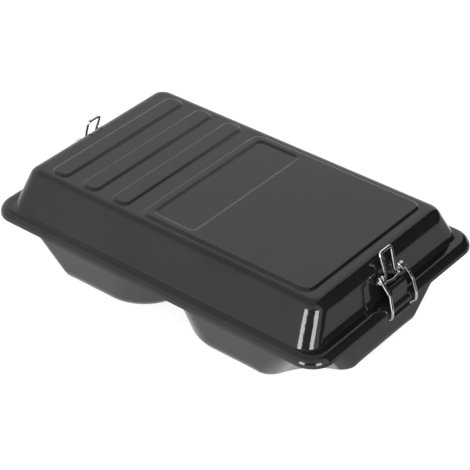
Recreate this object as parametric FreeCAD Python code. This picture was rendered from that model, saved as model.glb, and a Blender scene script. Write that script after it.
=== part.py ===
import FreeCAD, Part
import math
import os

from FreeCAD import Vector

# Metal lunch box: a pressed tray with two wells, a pressed lid that sits over the tray's flange,
# and a wire latch at each end. Millimetres, +Z up, +X along the box towards the right latch.
# The origin lies under the middle of the box, on the surface that the wells stand on.

# Sheet, wire and strap stock
SHEET = 0.9
WIRE = 2.2
STRAP = 1.0

# Rim of the lid
RIM_LENGTH = 280.0
RIM_WIDTH = 181.0
RIM_CORNER = 17.0
SKIRT_FOOT = 40.0
SKIRT_HEIGHT = 6.5
RIM_ROUND = 6.0

# Walls of the lid: how far the foot stands in from the rim, and how far the wall then leans in
LID_RISE = 26.3
FOOT_INSET_END = 11.0
FOOT_INSET_SIDE = 6.7
LEAN_END = 5.6
LEAN_SIDE = 14.8
FOOT_CORNER = 12.0
SHOULDER_CORNER = 11.0
SHOULDER_ROUND = 8.5
FOOT_ROUND = 1.0

# Embossing on the lid's top: one broad plateau, ribs beside it and a sunk panel in the plateau
EMBOSS_HEIGHT = 1.3
EMBOSS_STEP = 3.0
EMBOSS_MARGIN_END = 12.8
EMBOSS_MARGIN_RIBS = 15.9
EMBOSS_MARGIN_SIDE = 7.2
PLATEAU_LENGTH = 138.0
PLATEAU_CORNER = 7.0
RIB_COUNT = 3
RIB_WIDTH = 13.5
RIB_CORNER = 5.0
PANEL_DEPTH = 1.0
PANEL_LENGTH = 34.5
PANEL_WIDTH = 112.5
PANEL_INSET = 6.4
PANEL_CORNER = 4.0

# Tray: rim nested in the lid's rim and two wells, with the lean of each wall over the well's depth.
# Each well has plain inner corners, and outer corners that are hollowed between two round turns.
RIM_PLAY = 0.3
TRAY_RIM_LIFT = 0.4
WELL_INSET_END = 9.2
WELL_INSET_SIDE = 7.5
WELL_BRIDGE = 6.0
WELL_LEAN_END = 1.5
WELL_LEAN_SIDE = 7.0
WELL_LEAN_MIDDLE = 4.0
CORNER_TURN = 65.0
MOUTH_CORNER = 22.0
MOUTH_TURN_RADIUS = 9.0
MOUTH_HOLLOW_RADIUS = 8.0
FLOOR_CORNER = 42.0
FLOOR_TURN_RADIUS = 20.0
FLOOR_HOLLOW_RADIUS = 53.0
FLOOR_ROUND = 12.0
MOUTH_BEND = 1.5

# Latch: running play in the pivots and room between pieces that move past each other
PIVOT_PLAY = 0.06
ROOM = 0.35

# Anchor: strap under the tray's flange, rolled into a knuckle that holds the feet of the bail
ANCHOR_WIDTH = 17.4
ANCHOR_DROP = 3.6
ANCHOR_TONGUE = 1.0
ANCHOR_BEND = 3.0
ANCHOR_INSET = 1.6
KNUCKLE_WRAP = 260.0
FOOT_GRIP = 6.0

# Bail: feet, legs, knees, coil eyes and crosspiece, with rises above the skirt's foot
LEG_SPREAD = 13.2
LEG_LOW = -0.8
LEG_HIGH = 4.0
KNEE_RISE = 15.0
KNEE_OUT = 8.7
EYE_RISE = 21.4
EYE_SPREAD = 7.85
COIL_GAP = 0.7
COIL_TURNS = 1
COIL_STEPS = 8
CROSS_OUT = 2.8
CROSS_DROP = 3.0
CROSS_LEAD = 1.5
FOOT_BEND = 2.2
LEG_BEND = 12.0
KNEE_BEND = 4.0
CROSS_BEND = 3.0

# Finger tab
TAB_HEIGHT = 17.6
TAB_LEAN = 17.0
TAB_TOP_SPREAD = 6.1
TAB_TOP_BEND = 2.4
TAB_PIN_BEND = 1.8
TAB_PIN_END = 0.8

# Catch: hook plate on the end of the lid
CATCH_FOOT_WIDTH = 19.4
CATCH_TOP_WIDTH = 15.0
CATCH_SLOPE = 12.0
CATCH_LIP = 3.0
CATCH_FRONT_OUT = 1.2
CATCH_FRONT_RISE = 11.4
CATCH_FOOT_OUT = 0.6
CATCH_BEND = 1.5

# Levels and half sizes worked out from the sizes above
HALF_LENGTH = RIM_LENGTH / 2
HALF_WIDTH = RIM_WIDTH / 2
FLANGE_TOP = SKIRT_FOOT + SKIRT_HEIGHT
TRAY_TOP = FLANGE_TOP - SHEET
TRAY_UNDERSIDE = TRAY_TOP - SHEET
LID_TOP = FLANGE_TOP + LID_RISE
PLATEAU_TOP = LID_TOP + EMBOSS_HEIGHT
TOP_HALF_LENGTH = HALF_LENGTH - FOOT_INSET_END - LEAN_END
TOP_HALF_WIDTH = HALF_WIDTH - FOOT_INSET_SIDE - LEAN_SIDE
WIRE_R = WIRE / 2
EYE_BORE = WIRE_R + PIVOT_PLAY
COIL_R = EYE_BORE + WIRE_R
KNUCKLE_R = EYE_BORE + STRAP / 2
SAME = 1e-4
GAP_SAMPLES = 8


def rounded_rect(x0, x1, y0, y1, radius, z):
    """Closed wire of a rectangle with round corners, at height z."""
    diagonal = radius * math.sqrt(0.5)
    inner_x = (x0 + radius, x1 - radius)
    inner_y = (y0 + radius, y1 - radius)
    arcs = []
    for turn, (side_x, side_y) in enumerate(((1, 1), (-1, 1), (-1, -1), (1, -1))):
        centre = Vector(inner_x[side_x > 0], inner_y[side_y > 0], z)
        on_x = centre + Vector(side_x * radius, 0, 0)
        on_y = centre + Vector(0, side_y * radius, 0)
        middle = centre + Vector(side_x * diagonal, side_y * diagonal, 0)
        arcs.append((on_x, middle, on_y) if turn % 2 == 0 else (on_y, middle, on_x))
    edges = []
    for turn, (first, middle, last) in enumerate(arcs):
        edges.append(Part.Arc(first, middle, last).toShape())
        edges.append(Part.LineSegment(last, arcs[(turn + 1) % len(arcs)][0]).toShape())
    return Part.Wire(edges)


def centred_rect(half_x, half_y, radius, z):
    return rounded_rect(-half_x, half_x, -half_y, half_y, radius, z)


def prism(wire, height):
    return Part.Face(wire).extrude(Vector(0, 0, height))


def level_edges(shape, z):
    """Edges of a shape that lie wholly at height z."""
    return [e for e in shape.Edges
            if abs(e.BoundBox.ZMax - z) < SAME and abs(e.BoundBox.ZMin - z) < SAME]


def edges_within(edges, half_x, half_y):
    """Those edges that lie inside a rectangle about the middle of the box."""
    kept = []
    for edge in edges:
        ends = edge.Vertexes
        if max(abs(v.X) for v in ends) < half_x + SAME and max(abs(v.Y) for v in ends) < half_y + SAME:
            kept.append(edge)
    return kept


def skin_slide(inset, lean, rise):
    """How far a leaning wall's foot moves in when the skin and its level both move by the inset."""
    return inset * (math.hypot(lean, rise) - lean) / rise


def soft_pad(x0, x1, y0, y1, corner, height, z):
    """Raised pad whose edge is a soft S step, centred on the outline given."""
    half = EMBOSS_STEP / 2
    radius = (half ** 2 + (height / 2) ** 2) / height
    bow = math.asin(half / radius) / 2
    bow_out = radius * math.sin(bow)
    bow_up = radius * (1 - math.cos(bow))
    start = Vector(x1, y1 - corner, z)
    foot = start + Vector(half, 0, 0)
    crown = start + Vector(-half, 0, height)
    middle = start + Vector(0, 0, height / 2)
    inner = start + Vector(-half, 0, 0)
    hollow = Part.Arc(foot, foot + Vector(-bow_out, 0, bow_up), middle).toShape()
    bulge = Part.Arc(middle, crown + Vector(bow_out, 0, -bow_up), crown).toShape()
    drop = Part.LineSegment(crown, inner).toShape()
    base = Part.LineSegment(inner, foot).toShape()
    path = rounded_rect(x0, x1, y0, y1, corner, z)
    ring = path.makePipeShell([Part.Wire([hollow, bulge, drop, base])], True, False)
    core = prism(rounded_rect(x0 + half, x1 - half, y0 + half, y1 - half, corner - half, z), height)
    return ring.fuse(core).removeSplitter()


def rim_form(inset, foot, top):
    """Block under one skin of a rim, with its upper edge rounded."""
    block = prism(centred_rect(HALF_LENGTH - inset, HALF_WIDTH - inset, RIM_CORNER - inset, foot), top - foot)
    return block.makeFillet(RIM_ROUND - inset, level_edges(block, top))


def lid_form(inset):
    """Solid under one skin of the lid: the outer skin at inset 0, the inner one at the sheet's thickness."""
    flange = FLANGE_TOP - inset
    top = LID_TOP - inset
    foot_x = HALF_LENGTH - FOOT_INSET_END - skin_slide(inset, LEAN_END, LID_RISE)
    foot_y = HALF_WIDTH - FOOT_INSET_SIDE - skin_slide(inset, LEAN_SIDE, LID_RISE)
    foot = centred_rect(foot_x, foot_y, FOOT_CORNER - inset, flange)
    crown = centred_rect(foot_x - LEAN_END, foot_y - LEAN_SIDE, SHOULDER_CORNER - inset, top)
    walls = Part.makeLoft([foot, crown], True, True)
    walls = walls.makeFillet(SHOULDER_ROUND - inset, level_edges(walls, top))
    form = rim_form(inset, SKIRT_FOOT, flange).fuse(walls).removeSplitter()
    return form.makeFillet(FOOT_ROUND + inset, edges_within(level_edges(form, flange), foot_x, foot_y))


def make_lid():
    plateau_x1 = TOP_HALF_LENGTH - EMBOSS_MARGIN_END
    plateau_x0 = plateau_x1 - PLATEAU_LENGTH
    half_y = TOP_HALF_WIDTH - EMBOSS_MARGIN_SIDE
    pads = [(plateau_x0, plateau_x1, PLATEAU_CORNER)]
    pitch = (plateau_x0 + TOP_HALF_LENGTH - EMBOSS_MARGIN_RIBS) / RIB_COUNT
    for rib in range(1, RIB_COUNT + 1):
        rib_x0 = plateau_x0 - rib * pitch
        pads.append((rib_x0, rib_x0 + RIB_WIDTH, RIB_CORNER))
    panel_x0 = plateau_x0 + PANEL_INSET
    panel = soft_pad(panel_x0, panel_x0 + PANEL_LENGTH, -PANEL_WIDTH / 2, PANEL_WIDTH / 2,
                     PANEL_CORNER, PANEL_DEPTH, 0)
    panel = panel.mirror(Vector(0, 0, 0), Vector(0, 0, 1))
    skins = []
    for inset in (0, SHEET):
        form = lid_form(inset)
        for x0, x1, corner in pads:
            form = form.fuse(soft_pad(x0, x1, -half_y, half_y, corner, EMBOSS_HEIGHT, LID_TOP - inset))
        sunk = panel.translated(Vector(0, 0, PLATEAU_TOP - inset))
        skins.append(form.cut(sunk).removeSplitter())
    return skins[0].cut(skins[1])


def bend(start, corner, end):
    """Arc from start to end, tangent to the lines that run from each of them to the corner."""
    middle = (start + end) / 2
    rise = (corner - middle).Length
    half_chord = (end - start).Length / 2
    sag = half_chord * math.tan(math.atan2(rise, half_chord) / 2)
    return Part.Arc(start, middle + (corner - middle) * (sag / rise), end).toShape()


def turning_arcs(start, heading, turns):
    """Tangent arcs from a point and heading, one for each turn and radius, and the point where they end."""
    edges = []
    for turn, radius in turns:
        side = math.copysign(90, turn)
        inward = math.radians(heading + side)
        centre = start + Vector(math.cos(inward), math.sin(inward), 0) * radius
        ends = []
        for share in (0.5, 1.0):
            outward = math.radians(heading - side + turn * share)
            ends.append(centre + Vector(math.cos(outward), math.sin(outward), 0) * radius)
        edges.append(Part.Arc(start, *ends).toShape())
        start = ends[-1]
        heading += turn
    return edges, start


def hollow_corner(turn_radius, hollow_radius):
    """Turns of a corner that is hollowed between two round turns."""
    turn = (CORNER_TURN, turn_radius)
    return [turn, (90 - 2 * CORNER_TURN, hollow_radius), turn]


def well_outline(near, far, half_y, near_radius, far_turns, z):
    """Outline of a well; its two outer corners follow the turns given, its two inner ones are plain."""
    plain = [(90 / len(far_turns), near_radius)] * len(far_turns)
    reach = turning_arcs(Vector(0, 0, 0), 0, far_turns)[1]
    starts = [(Vector(far - reach.x, -half_y, z), 0, far_turns),
              (Vector(far, half_y - reach.y, z), 90, far_turns),
              (Vector(near + near_radius, half_y, z), 180, plain),
              (Vector(near, near_radius - half_y, z), 270, plain)]
    edges = []
    for k, corner in enumerate(starts):
        arcs, end = turning_arcs(*corner)
        edges += arcs
        edges.append(Part.LineSegment(end, starts[(k + 1) % len(starts)][0]).toShape())
    return Part.Wire(edges)


def well_form(side, inset):
    """Solid inside one skin of a well: the outer skin at inset 0, the inner one at the sheet's thickness."""
    depth = TRAY_UNDERSIDE
    near = WELL_BRIDGE / 2 + skin_slide(inset, WELL_LEAN_MIDDLE, depth)
    far = HALF_LENGTH - WELL_INSET_END - skin_slide(inset, WELL_LEAN_END, depth)
    half_y = HALF_WIDTH - WELL_INSET_SIDE - skin_slide(inset, WELL_LEAN_SIDE, depth)
    mouth_corner = hollow_corner(MOUTH_TURN_RADIUS - inset, MOUTH_HOLLOW_RADIUS + inset)
    floor_corner = hollow_corner(FLOOR_TURN_RADIUS - inset, FLOOR_HOLLOW_RADIUS + inset)
    mouth = well_outline(near, far, half_y, MOUTH_CORNER - inset, mouth_corner, depth + inset)
    floor = well_outline(near + WELL_LEAN_MIDDLE, far - WELL_LEAN_END, half_y - WELL_LEAN_SIDE,
                         FLOOR_CORNER - inset, floor_corner, inset)
    form = Part.makeLoft([floor, mouth], True, True)
    form = form.makeFillet(FLOOR_ROUND - inset, level_edges(form, inset))
    if side < 0:
        form.rotate(Vector(0, 0, 0), Vector(0, 0, 1), 180)
    return form


def make_base_tray():
    outer = SHEET + RIM_PLAY
    foot = SKIRT_FOOT + TRAY_RIM_LIFT
    tray = rim_form(outer, foot, TRAY_TOP).cut(rim_form(outer + SHEET, foot, TRAY_UNDERSIDE))
    for side in (1, -1):
        tray = tray.fuse(well_form(side, 0))
    tray = tray.removeSplitter()
    mouth = (HALF_LENGTH - WELL_INSET_END, HALF_WIDTH - WELL_INSET_SIDE)
    tray = tray.makeFillet(MOUTH_BEND, edges_within(level_edges(tray, TRAY_UNDERSIDE), *mouth))
    for side in (1, -1):
        tray = tray.cut(well_form(side, SHEET))
    return tray.makeFillet(MOUTH_BEND + SHEET, edges_within(level_edges(tray, TRAY_TOP), *mouth))


def bent_path(points, radii):
    """Straight runs through the points, with a tangent arc of its own radius at each inner point."""
    edges = []
    last = points[0]
    for before, point, after, radius in zip(points, points[1:], points[2:], radii):
        way_in = (point - before).normalize()
        way_out = (after - point).normalize()
        reach = radius * math.tan(way_in.getAngle(way_out) / 2)
        first = point - way_in * reach
        edges.append(Part.LineSegment(last, first).toShape())
        last = point + way_out * reach
        edges.append(bend(first, point, last))
    edges.append(Part.LineSegment(last, points[-1]).toShape())
    return edges


def biarc(start, start_way, end, end_way):
    """Two tangent arcs between points with given directions."""
    chord = end - start
    ways = start_way + end_way
    a = 2 * (1 - start_way.dot(end_way))
    b = 2 * chord.dot(ways)
    reach = (math.sqrt(b ** 2 + 4 * a * chord.dot(chord)) - b) / (2 * a)
    first_corner = start + start_way * reach
    last_corner = end - end_way * reach
    joint = (first_corner + last_corner) / 2
    return [bend(start, first_corner, joint), bend(joint, last_corner, end)]


def round_wire(edges):
    """Solid wire of the latch's gauge along a path of edges."""
    path = Part.Wire(Part.__sortEdges__(edges))
    first = path.OrderedEdges[0]
    start = path.OrderedVertexes[0].Point
    way = first.tangentAt(first.getParameterByLength(0))
    section = Part.Wire(Part.makeCircle(WIRE_R, start, way))
    return path.makePipeShell([section], True, False)


def strip(edges, width):
    """Bent strap along a path in the XZ plane, centred on y = 0."""
    path = Part.Wire(edges)
    start = path.OrderedVertexes[0].Point
    way = (path.OrderedVertexes[1].Point - start).normalize()
    across = Vector(0, width / 2, 0)
    up = way.cross(Vector(0, 1, 0)) * (STRAP / 2)
    corners = [start + across + up, start - across + up, start - across - up, start + across - up]
    section = Part.makePolygon(corners + corners[:1])
    return path.makePipeShell([section], True, False)


def mirrored(points):
    return [Vector(p.x, -p.y, p.z) for p in points]


# Places of the right latch
LID_END_STRETCH = math.hypot(LEAN_END, LID_RISE) / LID_RISE
EYE_Z = SKIRT_FOOT + EYE_RISE
WALL_X_AT_EYE = HALF_LENGTH - FOOT_INSET_END - LEAN_END * (EYE_Z - FLANGE_TOP) / LID_RISE
EYE_X = WALL_X_AT_EYE + (COIL_R + WIRE_R + ROOM) * LID_END_STRETCH
KNUCKLE_X = HALF_LENGTH - ANCHOR_INSET
KNUCKLE_Z = SKIRT_FOOT - ANCHOR_DROP
CROSS_X = EYE_X + CROSS_OUT
CROSS_Z = EYE_Z - CROSS_DROP


def coil_places():
    """Start angle, total turn and pitch of the coil that winds from the arm in to the crosspiece."""
    knee = Vector(EYE_X + KNEE_OUT, 0, SKIRT_FOOT + KNEE_RISE)
    reach_x = knee.x - EYE_X
    reach_z = knee.z - EYE_Z
    start = math.atan2(reach_z, reach_x) + math.acos(COIL_R / math.hypot(reach_x, reach_z))
    end = math.radians(270) + COIL_TURNS * 2 * math.pi
    return start, end - start, WIRE + COIL_GAP


def coil_point(angle, y):
    return Vector(EYE_X + COIL_R * math.cos(angle), y, EYE_Z + COIL_R * math.sin(angle))


def half_bail(side):
    """Path of one side of the bail, from the crosspiece's bend out to the foot."""
    start, turn, pitch = coil_places()
    arm_y = EYE_SPREAD + pitch * turn / (2 * math.pi)
    slope = pitch / (2 * math.pi)
    leg_x = HALF_LENGTH + ROOM + WIRE_R
    grip_y = ANCHOR_WIDTH / 2 - FOOT_GRIP
    points = [coil_point(start, arm_y),
              Vector(EYE_X + KNEE_OUT, arm_y, SKIRT_FOOT + KNEE_RISE),
              Vector(leg_x, LEG_SPREAD, SKIRT_FOOT + LEG_HIGH),
              Vector(leg_x, LEG_SPREAD, SKIRT_FOOT + LEG_LOW),
              Vector(KNUCKLE_X, LEG_SPREAD, KNUCKLE_Z),
              Vector(KNUCKLE_X, grip_y, KNUCKLE_Z)]
    radii = [KNEE_BEND, LEG_BEND, FOOT_BEND, FOOT_BEND]
    knots = []
    for step in range(COIL_STEPS + 1):
        share = step / COIL_STEPS
        angle = start + turn * share
        point = coil_point(angle, arm_y - slope * turn * share)
        rising = slope if step else 0
        way = Vector(-COIL_R * math.sin(angle), -rising, COIL_R * math.cos(angle)).normalize()
        knots.append((point, way))
    coil_end, end_way = knots[-1]
    vertex = Vector(CROSS_X, 0, CROSS_Z)
    lead = coil_end + end_way * CROSS_LEAD
    inward = (vertex - lead).normalize()
    after_lead = lead + inward * CROSS_LEAD
    half_angle = math.asin(inward.x / math.hypot(inward.x, inward.y))
    before_vertex = vertex - inward * (CROSS_BEND * math.tan(half_angle))
    flip = 1 if side > 0 else -1

    def place(v):
        return Vector(v.x, v.y * flip, v.z)

    edges = [Part.LineSegment(place(before_vertex), place(after_lead)).toShape(),
             bend(place(after_lead), place(lead), place(coil_end))]
    for (p1, w1), (p0, w0) in zip(knots[::-1], knots[-2::-1]):
        edges += biarc(place(p1), place(-w1), place(p0), place(-w0))
    return place(before_vertex), edges + bent_path([place(p) for p in points], radii)


def make_bail():
    near, edges = half_bail(1)
    far, other_edges = half_bail(-1)
    vertex = Vector(CROSS_X, 0, CROSS_Z)
    return round_wire(edges + [bend(near, vertex, far)] + other_edges)


def make_tab():
    start, turn, pitch = coil_places()
    pin_y = EYE_SPREAD + pitch * turn / (2 * math.pi) + WIRE_R + TAB_PIN_END
    leg_y = EYE_SPREAD - WIRE_R - TAB_PIN_BEND
    lean = math.radians(TAB_LEAN)
    top_x = EYE_X - TAB_HEIGHT * math.sin(lean)
    top_z = EYE_Z + TAB_HEIGHT * math.cos(lean)
    half = [Vector(EYE_X, pin_y, EYE_Z), Vector(EYE_X, leg_y, EYE_Z), Vector(top_x, TAB_TOP_SPREAD, top_z)]
    radii = [TAB_PIN_BEND, TAB_TOP_BEND, TAB_TOP_BEND, TAB_PIN_BEND]
    return round_wire(bent_path(half + mirrored(half)[::-1], radii))


def make_anchor():
    tongue_z = TRAY_UNDERSIDE - STRAP / 2
    drop_x = KNUCKLE_X - KNUCKLE_R
    end = math.radians(180 + KNUCKLE_WRAP)
    middle = math.radians(180 + KNUCKLE_WRAP / 2)
    roll = [Vector(KNUCKLE_X + KNUCKLE_R * math.cos(a), 0, KNUCKLE_Z + KNUCKLE_R * math.sin(a))
            for a in (math.pi, middle, end)]
    points = [Vector(drop_x - ANCHOR_BEND - ANCHOR_TONGUE, 0, tongue_z), Vector(drop_x, 0, tongue_z), roll[0]]
    edges = bent_path(points, [ANCHOR_BEND])
    return strip(edges + [Part.Arc(*roll).toShape()], ANCHOR_WIDTH)


def side_prism(points, width):
    """Prism of a polygon in the XZ plane, centred on y = 0."""
    corners = [Vector(x, -width / 2, z) for x, z in points]
    return Part.Face(Part.makePolygon(corners + corners[:1])).extrude(Vector(0, width, 0))


def make_catch():
    slope = math.radians(CATCH_SLOPE)
    along = Vector(math.cos(slope), 0, math.sin(slope))
    below = Vector(math.sin(slope), 0, -math.cos(slope))
    seat = Vector(CROSS_X, 0, CROSS_Z) + below * (WIRE_R + ROOM + STRAP / 2)
    lip = seat + along * CATCH_LIP
    inside = seat - along * (CROSS_X - TOP_HALF_LENGTH)
    front = Vector(lip.x + CATCH_FRONT_OUT, 0, SKIRT_FOOT + CATCH_FRONT_RISE)
    foot = Vector(front.x + CATCH_FOOT_OUT, 0, SKIRT_FOOT)
    plate = strip(bent_path([inside, lip, front, foot], [CATCH_BEND, CATCH_BEND]), CATCH_FOOT_WIDTH)
    half_foot = CATCH_FOOT_WIDTH / 2
    half_top = CATCH_TOP_WIDTH / 2
    top_z = lip.z + STRAP
    outline = [Vector(0, -half_foot, SKIRT_FOOT), Vector(0, half_foot, SKIRT_FOOT),
               Vector(0, half_top, top_z), Vector(0, -half_top, top_z)]
    blank = Part.Face(Part.makePolygon(outline + outline[:1])).extrude(Vector(HALF_LENGTH, 0, 0))
    wall = side_prism([(0, FLANGE_TOP), (HALF_LENGTH - FOOT_INSET_END, FLANGE_TOP),
                       (TOP_HALF_LENGTH, LID_TOP), (0, LID_TOP)], CATCH_FOOT_WIDTH)
    return plate.common(blank).cut(wall).cut(rim_form(0, SKIRT_FOOT, FLANGE_TOP))


def self_gap():
    """Least gap of the bail's wire to itself, measured on points of its path."""
    near, edges = half_bail(1)
    points = []
    run = 0.0
    for edge in edges:
        count = max(2, int(edge.Length * GAP_SAMPLES / WIRE))
        for point in edge.discretize(count)[:-1]:
            if points:
                run += (point - points[-1][1]).Length
            points.append((run, point))
    least = min((q - p).Length for i, (s, p) in enumerate(points) for t, q in points[i + 1:]
                if t - s > 2 * WIRE)
    return least - WIRE


shapes = {"base_tray": make_base_tray(), "lid": make_lid()}
latch = {"anchor": make_anchor(), "catch": make_catch(), "bail": make_bail(), "tab": make_tab()}
for name, shape in latch.items():
    shapes["right_" + name] = shape
    shapes["left_" + name] = shape.rotated(Vector(0, 0, 0), Vector(0, 0, 1), 180)

os.makedirs("parts", exist_ok=True)
for name, shape in shapes.items():
    print(name, shape.isValid(), len(shape.Solids), round(shape.Volume, 1), shape.BoundBox)
    shape.exportStep("parts/" + name + ".step")
print("least gap of the bail to itself", round(self_gap(), 3))
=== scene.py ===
import math

import bpy
from mathutils import Matrix, Vector


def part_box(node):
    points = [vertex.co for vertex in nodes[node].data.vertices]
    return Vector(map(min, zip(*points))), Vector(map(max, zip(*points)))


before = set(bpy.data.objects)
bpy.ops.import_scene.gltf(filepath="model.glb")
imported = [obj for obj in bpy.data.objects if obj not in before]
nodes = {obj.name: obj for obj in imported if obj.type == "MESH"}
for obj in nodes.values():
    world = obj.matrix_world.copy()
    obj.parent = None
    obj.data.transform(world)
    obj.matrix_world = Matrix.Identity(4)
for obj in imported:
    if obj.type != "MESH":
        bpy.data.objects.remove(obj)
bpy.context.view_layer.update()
scene = bpy.context.scene

# Places are taken from the lid's rim; lengths are in metres and angles in degrees
RIM_LOW, RIM_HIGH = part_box("lid")
RIGHT_END = RIM_HIGH.x
FRONT = RIM_LOW.y
BACK = RIM_HIGH.y

# Floor: half its side, its glow, and the grey it has for the eye and for light that falls on the object
FLOOR_HALF = 6.0
FLOOR_GLOW = 0.86
FLOOR_SEEN_GREY = 0.35
FLOOR_BOUNCE_GREY = 0.8

# Room in reflections, and its darker parts with the cosines at which each is full and ends
ROOM_GREY = 0.93
CEILING = {"way": (0, 0, 1), "level": 0.45, "full": 0.95, "end": 0.6}
BEHIND_RIGHT_END = {"way": (0.70, 0.68, 0.10), "level": 0.06, "full": 0.98, "end": 0.94}
ROUND_PHOTOGRAPHER = {"way": (0.624, -0.776, 0.08), "level": 0.1, "full": 0.9, "end": 0.8}

# Strip lights, turned about the near corner of the lid's wall from straight in front of it
WALL_INSET = 0.01
NEAR_CORNER = Vector((RIGHT_END - WALL_INSET, FRONT + WALL_INSET, 0))
STRIP_TURNS = {"left": -3.0, "right": 64.0}
STRIP_DISTANCE = 1.3
STRIP_WIDTH = 0.5
STRIP_HEIGHT = 0.6
STRIP_POWER = 11.0

# Cards in reflections: two opposite corners of each, and its glow near the box and far from it. The flat
# grey card is a painted shadow of the box on the floor beside its right end, seen only in reflections and
# dimmest near the box
UPRIGHT_X = RIGHT_END + 0.05
BEHIND_X = RIGHT_END - 0.03
BEHIND_Y = BACK + 0.07
FLAT_X = RIGHT_END - 0.02
FLAT_Z = 0.0005
DARK = 0.01
DARK_UPRIGHT = {"low": (UPRIGHT_X, -0.06, 0.03), "high": (UPRIGHT_X, 0.34, 0.5), "near": DARK, "far": DARK}
DARK_BEHIND = {"low": (BEHIND_X, BEHIND_Y, 0.06), "high": (0.5, BEHIND_Y, 0.45), "near": DARK, "far": DARK}
FLAT_PAINTED_SHADOW = {"low": (FLAT_X, -0.12, FLAT_Z), "high": (0.7, 0.6, FLAT_Z), "near": 0.35, "far": 0.7}
GLOW_NEAR_X = RIGHT_END + 0.01
GLOW_FAR_X = RIGHT_END + 0.13

# Camera fitted to the rim's corners in the photograph; its lens and sensor are in millimetres
CAMERA_PLACE = Vector((0.66390, -0.82163, 0.78111))
CAMERA_TURN = 38.8375
CAMERA_RISE = 35.2749
CAMERA_ROLL = 0.0828
CAMERA_LENS = 145.756
CAMERA_SENSOR = 36.0
CAMERA_REACH = 50.0


# Node helpers

def blank_tree(owner):
    """The emptied node tree of a material or a world."""
    owner.use_nodes = True
    owner.node_tree.nodes.clear()
    return owner.node_tree


def show(tree, kind, shader):
    """Links a shader to a new output, of a Material or a World."""
    out = tree.nodes.new("ShaderNodeOutput" + kind)
    tree.links.new(shader, out.inputs["Surface"])


def grey(level, blue=0.0):
    """A grey, with a little more blue where that is given."""
    return (level, level, level + blue, 1)


def noise(tree, scale, detail, rough):
    """Noise in the object's own metres."""
    coord = tree.nodes.new("ShaderNodeTexCoord")
    node = tree.nodes.new("ShaderNodeTexNoise")
    node.inputs["Scale"].default_value = scale
    node.inputs["Detail"].default_value = detail
    node.inputs["Roughness"].default_value = rough
    tree.links.new(coord.outputs["Object"], node.inputs["Vector"])
    return node.outputs["Fac"]


def ramp(tree, source, *stops):
    """A colour that runs between two stops, each a position of the source and a colour."""
    node = tree.nodes.new("ShaderNodeValToRGB")
    for element, (position, colour) in zip(node.color_ramp.elements, stops):
        element.position = position
        element.color = colour
    tree.links.new(source, node.inputs["Fac"])
    return node.outputs["Color"]


def spread(tree, source, low, high, start=0.0, end=1.0):
    """A value that runs from low to high as the source goes from start to end."""
    node = tree.nodes.new("ShaderNodeMapRange")
    node.inputs["From Min"].default_value = start
    node.inputs["From Max"].default_value = end
    node.inputs["To Min"].default_value = low
    node.inputs["To Max"].default_value = high
    tree.links.new(source, node.inputs["Value"])
    return node.outputs["Result"]


def bump(tree, height, distance, strength):
    """A normal that follows small heights."""
    node = tree.nodes.new("ShaderNodeBump")
    node.inputs["Distance"].default_value = distance
    node.inputs["Strength"].default_value = strength
    tree.links.new(height, node.inputs["Height"])
    return node.outputs["Normal"]


def diffuse(tree, level):
    """A plain matt grey."""
    node = tree.nodes.new("ShaderNodeBsdfDiffuse")
    node.inputs["Color"].default_value = grey(level)
    return node.outputs["BSDF"]


def mixed(tree, factor, first, second):
    """The first shader where the factor is 0 and the second where it is 1."""
    node = tree.nodes.new("ShaderNodeMixShader")
    tree.links.new(factor, node.inputs["Fac"])
    tree.links.new(first, node.inputs[1])
    tree.links.new(second, node.inputs[2])
    return node.outputs["Shader"]


# Materials of the object

def new_material(name):
    mat = bpy.data.materials.new(name)
    tree = blank_tree(mat)
    shader = tree.nodes.new("ShaderNodeBsdfPrincipled")
    show(tree, "Material", shader.outputs["BSDF"])
    return mat, tree, shader.inputs


def enamel(name, dark, pale, smooth, dull):
    """Glossy black enamel with a slight orange peel and a faint cloudiness."""
    mat, tree, inputs = new_material(name)
    clouds = noise(tree, scale=22.0, detail=5.0, rough=0.6)
    wear = noise(tree, scale=45.0, detail=6.0, rough=0.65)
    peel = noise(tree, scale=260.0, detail=2.0, rough=0.5)
    blue = 0.001
    colour = ramp(tree, clouds, (0.3, grey(dark, blue)), (0.75, grey(pale, blue)))
    tree.links.new(colour, inputs["Base Color"])
    tree.links.new(spread(tree, wear, smooth, dull), inputs["Roughness"])
    tree.links.new(bump(tree, peel, distance=0.0002, strength=0.06), inputs["Normal"])
    inputs["IOR"].default_value = 1.5
    return mat


def plated(name, tarnished, bright, smooth, dull):
    """Bright plating with a fine grain and a little tarnish."""
    mat, tree, inputs = new_material(name)
    tarnish = noise(tree, scale=160.0, detail=5.0, rough=0.6)
    wear = noise(tree, scale=420.0, detail=3.0, rough=0.5)
    grain = noise(tree, scale=1500.0, detail=2.0, rough=0.5)
    blue = 0.01
    colour = ramp(tree, tarnish, (0.3, grey(tarnished, blue)), (0.6, grey(bright, blue)))
    tree.links.new(colour, inputs["Base Color"])
    tree.links.new(spread(tree, wear, smooth, dull), inputs["Roughness"])
    tree.links.new(bump(tree, grain, distance=0.00008, strength=0.05), inputs["Normal"])
    inputs["Metallic"].default_value = 1.0
    return mat


lid_enamel = enamel("lid_black_enamel", dark=0.008, pale=0.014, smooth=0.05, dull=0.11)
tray_enamel = enamel("tray_black_enamel", dark=0.010, pale=0.018, smooth=0.08, dull=0.16)
strap_enamel = enamel("strap_black_enamel", dark=0.008, pale=0.016, smooth=0.1, dull=0.2)
wire_plating = plated("latch_wire_plating", tarnished=0.78, bright=0.95, smooth=0.07, dull=0.15)

for name, obj in nodes.items():
    if name == "lid":
        mat = lid_enamel
    elif name == "base_tray":
        mat = tray_enamel
    elif name.endswith(("catch", "anchor")):
        mat = strap_enamel
    else:
        mat = wire_plating
    obj.data.materials.clear()
    obj.data.materials.append(mat)


# Floor

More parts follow.
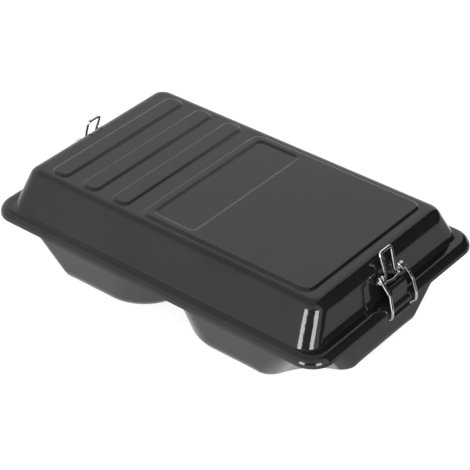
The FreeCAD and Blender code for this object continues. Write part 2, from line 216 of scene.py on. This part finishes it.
def flat_sheet(name, low, high, mat):
    """A level or upright rectangle between two opposite corners."""
    (x0, y0, z0), (x1, y1, z1) = low, high
    if z0 == z1:
        corners = [(x0, y0, z0), (x1, y0, z0), (x1, y1, z0), (x0, y1, z0)]
    else:
        corners = [(x0, y0, z0), (x1, y1, z0), (x1, y1, z1), (x0, y0, z1)]
    mesh = bpy.data.meshes.new(name)
    mesh.from_pydata(corners, [], [(0, 1, 2, 3)])
    mesh.materials.append(mat)
    sheet = bpy.data.objects.new(name, mesh)
    scene.collection.objects.link(sheet)
    return sheet


def floor_material():
    """White to the eye and in reflections, and a little darker where the object shades it."""
    mat = bpy.data.materials.new("floor_white")
    tree = blank_tree(mat)
    path = tree.nodes.new("ShaderNodeLightPath")
    seen = tree.nodes.new("ShaderNodeMath")
    seen.operation = "MAXIMUM"
    tree.links.new(path.outputs["Is Camera Ray"], seen.inputs[0])
    tree.links.new(path.outputs["Is Glossy Ray"], seen.inputs[1])
    glow = tree.nodes.new("ShaderNodeEmission")
    glow.inputs["Strength"].default_value = FLOOR_GLOW
    bright = tree.nodes.new("ShaderNodeAddShader")
    tree.links.new(diffuse(tree, FLOOR_SEEN_GREY), bright.inputs[0])
    tree.links.new(glow.outputs["Emission"], bright.inputs[1])
    plain = diffuse(tree, FLOOR_BOUNCE_GREY)
    show(tree, "Material", mixed(tree, seen.outputs["Value"], plain, bright.outputs["Shader"]))
    return mat


floor = flat_sheet("floor", (-FLOOR_HALF, -FLOOR_HALF, 0), (FLOOR_HALF, FLOOR_HALF, 0), floor_material())


# World

def darkened(tree, room, direction, way, level, full, end):
    """The room with a darker grey in the way given, fading out between two cosines of the angle from it."""
    cosine = tree.nodes.new("ShaderNodeVectorMath")
    cosine.operation = "DOT_PRODUCT"
    cosine.inputs[1].default_value = Vector(way).normalized()
    tree.links.new(direction, cosine.inputs[0])
    fade = tree.nodes.new("ShaderNodeMapRange")
    fade.interpolation_type = "SMOOTHSTEP"
    fade.inputs["From Min"].default_value = end
    fade.inputs["From Max"].default_value = full
    tree.links.new(cosine.outputs["Value"], fade.inputs["Value"])
    mix = tree.nodes.new("ShaderNodeMix")
    mix.data_type = "RGBA"
    mix.inputs["B"].default_value = grey(level)
    tree.links.new(room, mix.inputs["A"])
    tree.links.new(fade.outputs["Result"], mix.inputs["Factor"])
    return mix.outputs["Result"]


def make_world():
    """White to the eye, and a white room with some darker parts to all else."""
    scene.world = bpy.data.worlds.new("studio")
    tree = blank_tree(scene.world)
    direction = tree.nodes.new("ShaderNodeTexCoord").outputs["Generated"]
    walls = tree.nodes.new("ShaderNodeRGB")
    walls.outputs["Color"].default_value = grey(ROOM_GREY)
    room = walls.outputs["Color"]
    for part in (CEILING, BEHIND_RIGHT_END, ROUND_PHOTOGRAPHER):
        room = darkened(tree, room, direction, **part)
    lit = tree.nodes.new("ShaderNodeBackground")
    tree.links.new(room, lit.inputs["Color"])
    white = tree.nodes.new("ShaderNodeBackground")
    white.inputs["Color"].default_value = grey(1.0)
    path = tree.nodes.new("ShaderNodeLightPath")
    show(tree, "World", mixed(tree, path.outputs["Is Camera Ray"], lit.outputs[0], white.outputs[0]))


make_world()


# Lights

def strip_light(name, angle):
    """An upright strip that stands on the floor and faces the near corner."""
    data = bpy.data.lights.new(name, "AREA")
    data.shape = "RECTANGLE"
    data.size = STRIP_WIDTH
    data.size_y = STRIP_HEIGHT
    data.energy = STRIP_POWER
    lamp = bpy.data.objects.new(name, data)
    scene.collection.objects.link(lamp)
    turn = math.radians(angle)
    outward = Vector((math.sin(turn), -math.cos(turn), 0))
    lamp.location = NEAR_CORNER + outward * STRIP_DISTANCE + Vector((0, 0, STRIP_HEIGHT / 2))
    lamp.rotation_euler = (-outward).to_track_quat("-Z", "Y").to_euler()


for side, angle in STRIP_TURNS.items():
    strip_light("strip_" + side, angle)


# Cards at the right end

def reflected_card(name, low, high, near, far):
    """A rectangle that shows only in reflections, with a glow that changes along X."""
    mat = bpy.data.materials.new(name)
    tree = blank_tree(mat)
    coord = tree.nodes.new("ShaderNodeTexCoord")
    place = tree.nodes.new("ShaderNodeSeparateXYZ")
    tree.links.new(coord.outputs["Object"], place.inputs["Vector"])
    glow = tree.nodes.new("ShaderNodeEmission")
    strength = spread(tree, place.outputs["X"], near, far, GLOW_NEAR_X, GLOW_FAR_X)
    tree.links.new(strength, glow.inputs["Strength"])
    show(tree, "Material", glow.outputs["Emission"])
    card = flat_sheet(name, low, high, mat)
    card.visible_camera = False
    card.visible_diffuse = False
    card.visible_shadow = False


reflected_card("card_upright", **DARK_UPRIGHT)
reflected_card("card_behind", **DARK_BEHIND)
# The flat card glows grey and dimmer near the box: a painted shadow of the box on the floor, seen only in
# reflections
reflected_card("card_flat_painted_shadow", **FLAT_PAINTED_SHADOW)


# Camera

def make_camera():
    data = bpy.data.cameras.new("camera")
    data.sensor_width = CAMERA_SENSOR
    data.lens = CAMERA_LENS
    data.clip_end = CAMERA_REACH
    camera = bpy.data.objects.new("camera", data)
    scene.collection.objects.link(camera)
    turn = Matrix.Rotation(math.radians(CAMERA_TURN), 4, "Z")
    tilt = Matrix.Rotation(math.radians(90 - CAMERA_RISE), 4, "X")
    roll = Matrix.Rotation(math.radians(CAMERA_ROLL), 4, "Z")
    camera.matrix_world = Matrix.Translation(CAMERA_PLACE) @ turn @ tilt @ roll
    scene.camera = camera


make_camera()
scene.view_settings.view_transform = "Standard"
